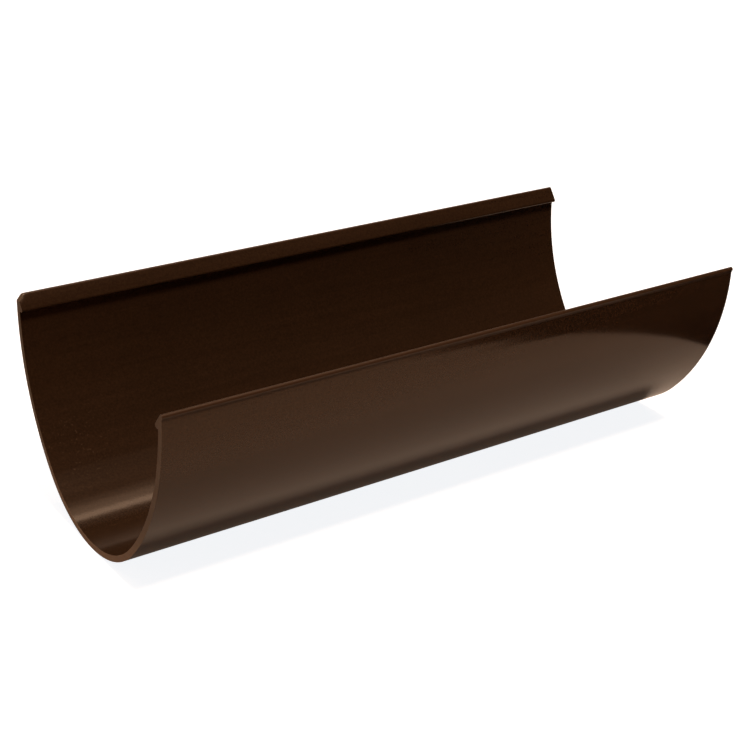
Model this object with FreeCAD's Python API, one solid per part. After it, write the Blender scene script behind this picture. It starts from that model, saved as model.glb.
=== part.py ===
"""Gutter section: a short cut length of deep-flow rainwater gutter, extruded in uPVC.

Frame: X runs along the gutter, Y across it and Z up. The origin is under the middle of the
length, on the surface that the round bottom lies on, with the open side up.
All sizes are in millimetres, and angles in the section are radians, up from the +Y direction.
"""
import FreeCAD, Part
import math
import os

from FreeCAD import Vector

# The cut piece
length = 250.0  # between the two saw cuts
width = 110.0  # across the outside faces of the walls
depth = 76.5  # from the underside of the curve to the top of the rims
wall = 2.4  # thickness of the extruded wall

# The curve of the channel: a bottom arc that runs into a flatter arc up each side
blend_angle = math.radians(43)  # how far below level a side arc hands over to the bottom arc
upright = 2.0  # straight stretch of wall between the side arc and the nib

# The bead along each rim: brackets and union clips hook over the nib and under the nose
bead_height = 6.0  # from the top of the rim down to the underside of the bead
bead_reach = 2.0  # how far the nose stands in from the wall
bead_round = 0.9  # radius of the crest and of the nose
nib_height = 2.0  # from the top of the rim down to the foot of the nib
nib_reach = 0.5  # how far the nib stands out from the wall

# Both arcs follow from the width and depth: level at the bottom, upright at the spring line
half_width = width / 2
spring_line = depth - nib_height - upright
radius_step = (spring_line - half_width) / (math.cos(blend_angle) + math.sin(blend_angle) - 1)
bottom_radius = spring_line - radius_step * math.sin(blend_angle)
side_radius = half_width + radius_step * math.cos(blend_angle)
bottom_centre = Vector(0, 0, bottom_radius)
side_centre = Vector(0, half_width - side_radius, spring_line)

LEVEL = 0.0
DOWN = -math.pi / 2
FULL_TURN = 2 * math.pi


def polar(centre, radius, angle):
    """The point at a radius and angle from a centre, in the plane of the section."""
    return centre + Vector(0, math.cos(angle), math.sin(angle)) * radius


def arc(centre, radius, start, end):
    """An arc about a centre, from angle start to angle end."""
    points = [polar(centre, radius, angle) for angle in (start, (start + end) / 2, end)]
    return Part.Arc(*points).toShape()


def outside():
    """The outer face, from the middle of the bottom up to the foot of the nib."""
    return [
        arc(bottom_centre, bottom_radius, DOWN, -blend_angle),
        arc(side_centre, side_radius, -blend_angle, LEVEL),
        Part.makeLine(Vector(0, half_width, spring_line), Vector(0, half_width, depth - nib_height)),
    ]


def bead(wall_under_bead):
    """The rim, from the foot of the nib over the crest and nose to the wall inside."""
    nib_foot = Vector(0, half_width, depth - nib_height)
    crest = Vector(0, half_width + nib_reach - bead_round, depth - bead_round)
    nose_reach = wall + bead_reach - bead_round
    nose = Vector(0, half_width - nose_reach, depth - bead_height + bead_round)
    flank = nose - crest
    off_flank = math.atan2(-flank.y, flank.z)  # square to the flank, facing the channel
    return [
        Part.makeLine(nib_foot, polar(crest, bead_round, LEVEL)),
        arc(crest, bead_round, LEVEL, off_flank),
        Part.makeLine(polar(crest, bead_round, off_flank), polar(nose, bead_round, off_flank)),
        arc(nose, bead_round, off_flank, DOWN + FULL_TURN),
        Part.makeLine(polar(nose, bead_round, DOWN), wall_under_bead),
    ]


def inside(under_bead):
    """The inner face, from under the bead down to the middle of the bottom."""
    return [
        arc(side_centre, side_radius - wall, under_bead, -blend_angle),
        arc(bottom_centre, bottom_radius - wall, -blend_angle, DOWN),
    ]


def section():
    """The closed section of the gutter: one side and its mirror image."""
    under_bead = math.asin((depth - bead_height - spring_line) / (side_radius - wall))
    wall_under_bead = polar(side_centre, side_radius - wall, under_bead)
    half = outside() + bead(wall_under_bead) + inside(under_bead)
    other_half = [edge.mirror(Vector(), Vector(0, 1, 0)) for edge in half]
    return Part.Face(Part.Wire(Part.__sortEdges__(half + other_half)))


def gutter_channel():
    """The whole piece: one extrusion, cut square at both ends."""
    channel = section().extrude(Vector(length, 0, 0))
    channel.translate(Vector(-length / 2, 0, 0))
    return channel.removeSplitter()


os.makedirs("parts", exist_ok=True)
gutter_channel().exportStep("parts/gutter_channel.step")
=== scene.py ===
"""A short cut length of brown deep-flow rainwater gutter, lying on a pale studio floor."""

import bmesh
import bpy
import math

from mathutils import Matrix, Vector


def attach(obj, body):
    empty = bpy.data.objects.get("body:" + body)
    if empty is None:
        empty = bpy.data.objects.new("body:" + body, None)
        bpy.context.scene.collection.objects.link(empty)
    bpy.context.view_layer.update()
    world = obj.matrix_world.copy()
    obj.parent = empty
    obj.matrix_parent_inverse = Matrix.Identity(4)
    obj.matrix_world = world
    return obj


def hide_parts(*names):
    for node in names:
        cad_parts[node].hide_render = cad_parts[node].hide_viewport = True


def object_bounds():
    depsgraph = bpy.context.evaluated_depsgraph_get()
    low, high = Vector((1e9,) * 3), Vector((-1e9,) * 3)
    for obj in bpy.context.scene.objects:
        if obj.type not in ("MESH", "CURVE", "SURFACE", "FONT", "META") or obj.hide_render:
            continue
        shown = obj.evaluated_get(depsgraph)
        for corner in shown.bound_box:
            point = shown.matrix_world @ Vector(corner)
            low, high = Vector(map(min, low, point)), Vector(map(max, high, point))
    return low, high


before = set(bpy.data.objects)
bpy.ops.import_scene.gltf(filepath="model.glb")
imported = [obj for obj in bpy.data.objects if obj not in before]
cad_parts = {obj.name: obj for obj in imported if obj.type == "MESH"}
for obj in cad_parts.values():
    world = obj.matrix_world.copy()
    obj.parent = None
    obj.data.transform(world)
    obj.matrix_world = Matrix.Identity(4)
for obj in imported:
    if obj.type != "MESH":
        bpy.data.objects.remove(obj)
cad_low, cad_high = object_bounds()


# --- Gutter channel ----------------------------------------------------------------------------
# One piece of brown uPVC, drawn through a die, cooled in a sizing block and sawn square at both
# ends. The skin is semi-gloss, and the sawn ends are matt and paler. The crests are duller along
# their tops and painted paler there as a highlight. One rim has a corner knocked off, and a little
# dust lies inside the near end.

# The section, from the model's box and the same driving sizes as its solid
length = cad_high.x - cad_low.x
depth = cad_high.z
wall = 0.0024
blend_angle = math.radians(43)  # how far below level a side arc hands over to the bottom arc
upright = 0.002
bead_height = 0.006
bead_reach = 0.002
bead_round = 0.0009
nib_height = 0.002
nib_reach = 0.0005
half_width = cad_high.y - nib_reach

spring_line = depth - nib_height - upright
radius_step = (spring_line - half_width) / (math.cos(blend_angle) + math.sin(blend_angle) - 1)
bottom_radius = spring_line - radius_step * math.sin(blend_angle)
side_radius = half_width + radius_step * math.cos(blend_angle)
bottom_centre = Vector((0, 0, bottom_radius))
side_centre = Vector((0, half_width - side_radius, spring_line))
bottom_arc = math.radians(90) - blend_angle

crest = Vector((0, half_width + nib_reach - bead_round, depth - bead_round))
nose = Vector((0, half_width - wall - bead_reach + bead_round, depth - bead_height + bead_round))
flank = (crest - nose).normalized()
flank_out = Vector((0, -flank.z, flank.y))  # square to the flank, into the channel
flank_turn = math.atan2(flank_out.z, flank_out.y)  # turn of the crest from level to the flank

underside = depth - bead_height
underside_turn = math.asin((spring_line - underside) / (side_radius - wall))
inner_wall = side_centre.y + (side_radius - wall) * math.cos(underside_turn)

edge_lines = 64  # lengths that the skin is divided into along the gutter
bottom_steps = 26
side_steps = 30
round_steps = 8
join_gap = 0.00001  # points of the two halves that lie nearer than this are one point


def draw_to(y, z):
    """Draws skin straight from the picked edge line to a new place."""
    here = next(v.co for v in bmesh.from_edit_mesh(bpy.context.object.data).verts if v.select)
    bpy.ops.mesh.extrude_region_move(TRANSFORM_OT_translate={"value": (0, y - here.y, z - here.z)})


def draw_round(centre, angle, steps):
    """Draws skin from the picked edge line round a centre, from the floor side up to the rim."""
    bpy.ops.mesh.spin(steps=steps, angle=angle, center=centre, axis=(-1, 0, 0))


def pick(wanted, kind="faces"):
    """Picks the faces, edges or vertices of the piece in edit mode that a test lets through."""
    bpy.ops.mesh.select_all(action="DESELECT")
    mesh = bmesh.from_edit_mesh(bpy.context.object.data)
    for part in getattr(mesh, kind):
        if wanted(part):
            part.select_set(True)
    bmesh.update_edit_mesh(bpy.context.object.data)


# Half the section: up the outside, over the bead, and down the inside to the middle again
bpy.ops.object.select_all(action="DESELECT")
bpy.ops.mesh.primitive_plane_add(size=length, location=(0, -length / 2, 0))
channel = bpy.context.object
channel.name = "gutter_skin"
bpy.ops.object.transform_apply(location=True, rotation=True, scale=True)
bpy.ops.object.mode_set(mode="EDIT")
bpy.ops.mesh.select_mode(type="VERT")
pick(lambda v: v.co.y < -length / 2, "verts")
bpy.ops.mesh.delete(type="VERT")
bpy.ops.mesh.select_all(action="SELECT")
bpy.ops.mesh.subdivide(number_cuts=edge_lines - 1)
draw_round(bottom_centre, bottom_arc, bottom_steps)
draw_round(side_centre, blend_angle, side_steps)
draw_to(half_width, spring_line + upright)
draw_to(half_width + nib_reach, crest.z)
draw_round(crest, flank_turn, 2 * round_steps)
draw_to(*(nose + bead_round * flank_out).yz)
draw_round(nose, math.radians(270) - flank_turn, 2 * round_steps)
draw_to(inner_wall, underside)
draw_round(side_centre, -(blend_angle - underside_turn), side_steps)
draw_round(bottom_centre, -bottom_arc, bottom_steps)
bpy.ops.object.mode_set(mode="OBJECT")

# The other half is its mirror image, and the saw closes both ends
mirror = channel.modifiers.new("other_half", "MIRROR")
mirror.use_axis = (False, True, False)
mirror.merge_threshold = join_gap
bpy.ops.object.modifier_apply(modifier=mirror.name)
bpy.ops.object.mode_set(mode="EDIT")
bpy.ops.mesh.select_all(action="SELECT")
bpy.ops.mesh.remove_doubles(threshold=join_gap)
for end in (-length / 2, length / 2):
    pick(lambda e: e.is_boundary and all(abs(v.co.x - end) < join_gap for v in e.verts), "edges")
    bpy.ops.mesh.edge_face_add()
bpy.ops.mesh.select_all(action="SELECT")
bpy.ops.mesh.normals_make_consistent(inside=False)
bpy.ops.object.mode_set(mode="OBJECT")

# The corner knocked off the rear rim, with a block that lies on the slope of the break
knock_along = 0.0025
knock_down = 0.0023
block = 0.012
knock_slope = math.atan2(knock_down, knock_along)
knock_out = Vector((-math.sin(knock_slope), 0, math.cos(knock_slope)))
knock_middle = Vector((-length / 2 + knock_along / 2, half_width - wall, depth - knock_down / 2))
bpy.ops.object.select_all(action="DESELECT")
bpy.ops.mesh.primitive_cube_add(
    size=block,
    location=knock_middle + block / 2 * knock_out,
    rotation=(0, -knock_slope, 0),
)
knocked = bpy.context.object
bpy.ops.object.transform_apply(location=True, rotation=True, scale=True)
bpy.ops.object.select_all(action="DESELECT")
channel.select_set(True)
bpy.context.view_layer.objects.active = channel
cut = channel.modifiers.new("knocked_corner", "BOOLEAN")
cut.operation = "DIFFERENCE"
cut.object = knocked
bpy.ops.object.modifier_apply(modifier=cut.name)
bpy.data.objects.remove(knocked)

# The saw leaves a soft edge. The cut and the bevel leave a few edges of no length, which go.
sawn_edge_width = 0.00012
shortest_edge = 0.000001
sawn_edge = channel.modifiers.new("sawn_edge", "BEVEL")
sawn_edge.width = sawn_edge_width
sawn_edge.segments = 2
sawn_edge.limit_method = "ANGLE"
sawn_edge.angle_limit = math.radians(60)
bpy.ops.object.modifier_apply(modifier=sawn_edge.name)
bpy.ops.object.mode_set(mode="EDIT")
bpy.ops.mesh.select_all(action="SELECT")
bpy.ops.mesh.remove_doubles(threshold=shortest_edge)
bpy.ops.object.mode_set(mode="OBJECT")
bpy.ops.object.shade_smooth_by_angle(angle=math.radians(20))


def feed(made, inputs):
    """Feeds the inputs of a shader node: another node's output is linked, and a value is set."""
    for name, value in inputs.items():
        if isinstance(value, bpy.types.NodeSocket):
            made.id_data.links.new(value, made.inputs[name])
        else:
            made.inputs[name].default_value = value


def make_finish(name, inputs):
    """Makes a finish, with the inputs of its shader that are the same all over the surface."""
    made = bpy.data.materials.new(name)
    made.use_nodes = True
    feed(made.node_tree.nodes["Principled BSDF"], inputs)
    return made


def node(tree, kind, place, inputs=None, **settings):
    """Adds a shader node at a place in the tree, with its settings and inputs."""
    made = tree.nodes.new(kind)
    made.location = place
    for name, value in settings.items():
        setattr(made, name, value)
    feed(made, inputs or {})
    return made


def measure(tree):
    """Gives where a point lies on the piece: all in one, then along, across and up."""
    where = node(tree, "ShaderNodeTexCoord", (-1600, 0)).outputs["Object"]
    split = node(tree, "ShaderNodeSeparateXYZ", (-1400, 0), {"Vector": where})
    return where, split.outputs["X"], split.outputs["Y"], split.outputs["Z"]


def stretch(tree, place, where, scale):
    """Draws a pattern out along the axes whose scale is small."""
    inputs = {"Vector": where, "Scale": scale}
    return node(tree, "ShaderNodeMapping", place, inputs).outputs["Vector"]


def mottle(tree, place, where, scale, detail):
    """Gives an uneven value from 0 to 1, with about as many patches to a metre as its scale."""
    inputs = {"Vector": where, "Scale": scale, "Detail": detail}
    return node(tree, "ShaderNodeTexNoise", place, inputs).outputs["Fac"]


def ramp(tree, place, value, start, end, low=0.0, high=1.0, curve="LINEAR"):
    """Gives low where a value is at start or before it, and high at end or past it."""
    inputs = {"Value": value, "From Min": start, "From Max": end, "To Min": low, "To Max": high}
    return node(tree, "ShaderNodeMapRange", place, inputs, interpolation_type=curve).outputs["Result"]


def reckon(tree, place, operation, *values):
    """Works out one value from others."""
    inputs = dict(enumerate(values))
    return node(tree, "ShaderNodeMath", place, inputs, operation=operation).outputs["Value"]


def shade(tree, place, colour, factor):
    """Makes a colour lighter or darker."""
    inputs = {0: colour, "Scale": factor}
    return node(tree, "ShaderNodeVectorMath", place, inputs, operation="SCALE").outputs["Vector"]


def blend(tree, place, factor, first, second, kind="RGBA"):
    """Goes from the first colour or value to the second as the factor goes from 0 to 1."""
    inputs = {"Factor": factor, "A": first, "B": second}
    return node(tree, "ShaderNodeMix", place, inputs, data_type=kind).outputs["Result"]


def relief(tree, place, height, strength, distance, under=None):
    """Gives a fine relief, as high in metres as its distance, on another one that lies under it."""
    inputs = {"Height": height, "Strength": strength, "Distance": distance}
    if under:
        inputs["Normal"] = under
    return node(tree, "ShaderNodeBump", place, inputs).outputs["Normal"]


# Skin: semi-gloss pigmented uPVC, in slow clouds of two browns
warm_gloss = (1.0, 0.70, 0.50, 1)
dark_brown = (0.0250, 0.0107, 0.0046, 1)
light_brown = (0.0330, 0.0141, 0.0061, 1)
skin = make_finish("brown_upvc_skin", {
    "IOR": 1.5,
    "Specular IOR Level": 0.5,
    "Specular Tint": warm_gloss,
})
tree = skin.node_tree
where, along, across, up = measure(tree)
cloud = mottle(tree, (-1000, 300), where, scale=28, detail=4)
tint = blend(tree, (-600, 300), cloud, dark_brown, light_brown)

# Fine speckle of the pigment, and the fine lines that the die drew along it
grain = mottle(tree, (-1000, 600), where, scale=1300, detail=1)
speckle = ramp(tree, (-800, 600), grain, start=0.3, end=0.7, low=0.82, high=1.18)
drawn_out = stretch(tree, (-1200, 900), where, (0.03, 1, 1))
draw_lines = mottle(tree, (-1000, 900), drawn_out, scale=450, detail=3)
drawn = ramp(tree, (-800, 900), draw_lines, start=0.3, end=0.7, low=0.92, high=1.08)
skin_roughness = ramp(tree, (-600, 0), draw_lines, start=0.2, end=0.8, low=0.12, high=0.16)
marking = reckon(tree, (-600, 700), "MULTIPLY", speckle, drawn)
speckled = shade(tree, (-400, 500), tint, marking)

# The crests are duller along their tops, and painted paler there as a highlight
crest_band_depth = 0.0025  # how far down from the top the crest band reaches
dullest_depth = 0.0017  # from here up it is shinier again
highlight_depth = 0.0013  # from here up it is painted paler as a highlight
band_fade = 0.0005  # over which the band comes in
# Paler brown of the painted highlight on the crest tops
highlight_brown = (0.045, 0.0185, 0.0081, 1)
band_foot = depth - crest_band_depth
dullest_foot = depth - dullest_depth
highlight_foot = depth - highlight_depth
band_inner = crest.y - bead_round
band_outer = crest.y - band_fade
off_middle = reckon(tree, (-1200, 1300), "ABSOLUTE", across)
outermost = ramp(tree, (-1000, 1300), off_middle, band_inner, band_outer, curve="SMOOTHSTEP")
topmost = ramp(tree, (-1000, 1600), up, band_foot, band_foot + band_fade, curve="SMOOTHSTEP")
crest_band = reckon(tree, (-800, 1400), "MULTIPLY", outermost, topmost)
# Painted highlight: the crest tops are made paler in colour, standing for the light that falls on them
on_top = ramp(tree, (-800, 1700), up, highlight_foot, highlight_foot + band_fade)
painted_highlight = reckon(tree, (-600, 1500), "MULTIPLY", on_top, crest_band)
paler = blend(tree, (-200, 500), painted_highlight, speckled, highlight_brown)
band_roughness = ramp(tree, (-600, 1200), up, dullest_foot, depth - band_fade, low=0.70, high=0.28)
roughness = blend(tree, (-200, 100), crest_band, skin_roughness, band_roughness, kind="FLOAT")

# Specks of dust inside the near end, on the rear side and below the rim
dust_reach = 0.030  # from the end of the gutter
dust_inner = 0.022  # from its middle line
dust_top = 0.036
dust_fade = 0.008  # over which the dust comes in, from the middle line and from its top
dust_brown = (0.16, 0.095, 0.055, 1)
near_end = -length / 2
dust = mottle(tree, (-1000, 2000), where, scale=1300, detail=0)
strewn = ramp(tree, (-800, 2000), dust, start=0.74, end=0.82, high=0.16)
dust_limits = (
    (along, near_end + dust_reach, near_end + dust_reach / 2),
    (across, dust_inner, dust_inner + dust_fade),
    (up, dust_top, dust_top - dust_fade),
)
for row, (way, start, end) in enumerate(dust_limits):
    within = ramp(tree, (-800, 2300 + 300 * row), way, start, end)
    strewn = reckon(tree, (-600, 2300 + 300 * row), "MULTIPLY", strewn, within)
dusty = blend(tree, (0, 700), strewn, paler, dust_brown)

# The wall sinks a little where the bead behind it cooled last, and waves a little all over, under
# a fine orange peel
sink_below = 0.0070  # from the top of the rim to the deepest line of the sink
sink_reach = 0.0030
from_sink = reckon(tree, (-1200, -700), "SUBTRACT", up, depth - sink_below)
off_sink = reckon(tree, (-1000, -700), "ABSOLUTE", from_sink)
sink = ramp(tree, (-800, -700), off_sink, 0, sink_reach, curve="SMOOTHSTEP")
sunk = relief(tree, (-600, -700), sink, strength=1.0, distance=0.00003)
waved = relief(tree, (-400, -500), cloud, strength=1.0, distance=0.00007, under=sunk)
peel = mottle(tree, (-1000, -300), where, scale=1100, detail=2)
peeled = relief(tree, (-200, -300), peel, strength=0.3, distance=0.00003, under=waved)
feed(tree.nodes["Principled BSDF"], {
    "Base Color": dusty,
    "Roughness": roughness,
    "Normal": peeled,
})

# Sawn ends: matt and paler, with the saw's marks across them, and palest towards the foot
sawn_dark = (0.090, 0.051, 0.030, 1)
sawn_pale = (0.135, 0.077, 0.044, 1)
paling_top = 0.034  # height at which the paling begins
palest_height = 0.008  # height at which they are palest
sawn = make_finish("brown_upvc_sawn", {
    "Roughness": 0.6,
    "Specular IOR Level": 0.25,
    "Specular Tint": warm_gloss,
})
tree = sawn.node_tree
where, _, _, up = measure(tree)
sawn_across = stretch(tree, (-1200, 0), where, (1, 0.08, 1))
marks = mottle(tree, (-1000, 0), sawn_across, scale=1500, detail=2)
bared = blend(tree, (-600, 200), marks, sawn_dark, sawn_pale)
paling = ramp(tree, (-800, 500), up, paling_top, palest_height, low=1.0, high=1.8, curve="SMOOTHSTEP")
feed(tree.nodes["Principled BSDF"], {
    "Base Color": shade(tree, (-300, 300), bared, paling),
    "Normal": relief(tree, (-300, -200), marks, strength=0.6, distance=0.00005),
})

# The sawn finish goes on each end with its soft edges, and on the break at the corner
end_facing = 0.1  # the least share of such a face's normal that points along the gutter
channel.data.materials.append(skin)
channel.data.materials.append(sawn)
bpy.ops.object.mode_set(mode="EDIT")
pick(lambda f: abs(f.normal.x) > end_facing)
channel.active_material_index = 1
bpy.ops.object.material_slot_assign()
bpy.ops.object.mode_set(mode="OBJECT")

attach(channel, "root")
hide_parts("gutter_channel")


# --- Studio floor ------------------------------------------------------------------------------
# A white sweep that the gutter lies on, turned up all round its edge. It isn't part of the
# object. It shows white, and keeps the gutter's shadow.

floor_radius = 3
floor_lip = 0.9
bpy.ops.object.select_all(action="DESELECT")
bpy.ops.mesh.primitive_circle_add(vertices=96, radius=floor_radius, fill_type="NGON", location=(0, 0, 0))
floor = bpy.context.object
floor.name = "studio_floor"
bpy.ops.object.mode_set(mode="EDIT")
bpy.ops.mesh.select_mode(type="EDGE")
pick(lambda e: e.is_boundary, "edges")
bpy.ops.mesh.extrude_region_move(TRANSFORM_OT_translate={"value": (0, 0, floor_lip)})
bpy.ops.object.mode_set(mode="OBJECT")

# It glows at two strengths: nearly white to the eye, and dim and warm in the gutter's shine
sweep_colour = (0.58, 0.475, 0.40, 1)
seen_glow = 0.92
seen_colour = (0.955, 0.975, 1.0, 1)
shine_glow = 0.09
shine_colour = (1.0, 0.76, 0.58, 1)
white = make_finish("white_sweep", {
    "Base Color": sweep_colour,
    "Roughness": 1.0,
    "Specular IOR Level": 0.0,
})
tree = white.node_tree
rays = node(tree, "ShaderNodeLightPath", (-1000, -300)).outputs
seen = rays["Is Camera Ray"]
in_shine = reckon(tree, (-800, -450), "MAXIMUM", rays["Is Glossy Ray"], rays["Is Transmission Ray"])
dimmed = reckon(tree, (-600, -450), "MULTIPLY", in_shine, shine_glow)
glow = node(tree, "ShaderNodeEmission", (0, -300), {
    "Strength": reckon(tree, (-400, -300), "MULTIPLY_ADD", seen, seen_glow, dimmed),
    "Color": blend(tree, (-400, -550), seen, shine_colour, seen_colour),
})
lit = node(tree, "ShaderNodeAddShader", (300, 100), {
    0: tree.nodes["Principled BSDF"].outputs["BSDF"],
    1: glow.outputs["Emission"],
})
feed(tree.nodes["Material Output"], {"Surface": lit.outputs["Shader"]})
floor.data.materials.append(white)


# --- Black flags -------------------------------------------------------------------------------
# Three black cards on the sweep, which show only in the gutter's shine and cast no shadow. They
# end the shine of the white sweep at the far end and along the rim of the front wall.

black = make_finish("black_card", {
    "Base Color": (0.01, 0.01, 0.01, 1),
    "Roughness": 1.0,
    "Specular IOR Level": 0.0,
})
flag_lip = 0.4  # height to which the far edge of a card is turned up
edge_gap = 0.001  # points nearer than this to the far edge lie on it


def black_flag(name, edge_point, turn, side, height):
    """Lays a black card with one edge through a point of the floor, turned about the vertical."""
    out_from_edge = Vector((math.cos(turn), math.sin(turn), 0))
    bpy.ops.object.select_all(action="DESELECT")
    bpy.ops.mesh.primitive_plane_add(
        size=side,
        location=Vector((*edge_point, height)) + side / 2 * out_from_edge,
        rotation=(0, 0, turn),
    )
    card = bpy.context.object
    card.name = name
    bpy.ops.object.transform_apply(location=True, rotation=True, scale=True)
    bpy.ops.object.mode_set(mode="EDIT")
    bpy.ops.mesh.select_mode(type="EDGE")
    outer = max(v.co.dot(out_from_edge) for v in card.data.vertices)
    pick(lambda e: all(v.co.dot(out_from_edge) > outer - edge_gap for v in e.verts), "edges")
    bpy.ops.mesh.extrude_region_move(TRANSFORM_OT_translate={"value": (0, 0, flag_lip)})
    bpy.ops.object.mode_set(mode="OBJECT")
    card.data.materials.append(black)
    card.visible_camera = False
    card.visible_diffuse = False
    card.visible_transmission = False
    card.visible_shadow = False


black_flag("far_flag", (0.140, -0.106), math.radians(-25), side=1.2, height=0.0004)
black_flag("corner_flag", (0.106, -0.153), math.radians(-50), side=0.8, height=0.0006)
black_flag("front_flag", (0, -0.192), math.radians(-90), side=0.8, height=0.0008)


# --- Lights ------------------------------------------------------------------------------------
# A key light in front, a strip of three soft lights over the channel that fades towards the
# front, a dim ceiling, and a soft fill from the near end. All are slightly warm. Together they
# light a level surface at about its own colour.

middle = Vector((0, 0, depth / 2))
warm_white = (1, 0.90, 0.80)
strip_white = (1, 0.85, 0.71)


def soft_light(name, direction, distance, size, radiance, colour=warm_white):
    """Hangs a soft light in a direction from the gutter, turned to face it."""
    direction = Vector(direction).normalized()
    bpy.ops.object.light_add(type="AREA", location=middle + distance * direction)
    light = bpy.context.object
    light.name = name
    light.data.shape = "RECTANGLE"
    light.data.size, light.data.size_y = size
    light.data.energy = radiance * math.pi * size[0] * size[1]
    light.data.color = colour
    light.rotation_euler = direction.to_track_quat("Z", "Y").to_euler()


soft_light("key_light", (0, -0.350, 0.937), 3.0, (0.52, 0.52), 81)
soft_light("strip_light", (0, 0.337, 0.942), 1.2, (1.8, 0.150), 3.2, strip_white)
soft_light("strip_mid_light", (0, 0.199, 0.980), 1.2, (1.8, 0.193), 1.2, strip_white)
soft_light("strip_edge_light", (0, 0.061, 0.998), 1.2, (1.8, 0.140), 0.4, strip_white)
soft_light("ceiling", (0, 0, 1), 1.8, (2.4, 2.4), 0.12)
soft_light("near_fill", (-0.8, -0.1, 0.5), 1.8, (1.0, 1.0), 0.5)

world = bpy.data.worlds.new("dim_room")
bpy.context.scene.world = world
world.use_nodes = True
feed(world.node_tree.nodes["Background"], {"Color": (1, 1, 1, 1), "Strength": 0.01})


# --- Camera ------------------------------------------------------------------------------------
# The camera stands in front of the near end and looks down into the channel, through a long lens
# that is shifted a little to frame it.

azimuth = math.radians(-36.791)
elevation = math.radians(24.371)
roll = math.radians(2.842)
stand = (-0.32162, -0.43757, 0.29677)
back = Vector((
    math.sin(azimuth) * math.cos(elevation),
    -math.cos(azimuth) * math.cos(elevation),
    math.sin(elevation),
))
level = Vector((math.cos(azimuth), math.sin(azimuth), 0))
lifted = back.cross(level)
right = math.cos(roll) * level + math.sin(roll) * lifted
above = math.cos(roll) * lifted - math.sin(roll) * level

bpy.ops.object.camera_add(location=stand)
camera = bpy.context.object
camera.name = "studio_camera"
camera.rotation_euler = Matrix((right, above, back)).transposed().to_euler()
camera.data.sensor_width = 36
camera.data.lens = 75.11
camera.data.shift_x = -0.0337
camera.data.shift_y = -0.0426
camera.data.clip_start = 0.01
bpy.context.scene.camera = camera
bpy.context.scene.view_settings.view_transform = "Standard"
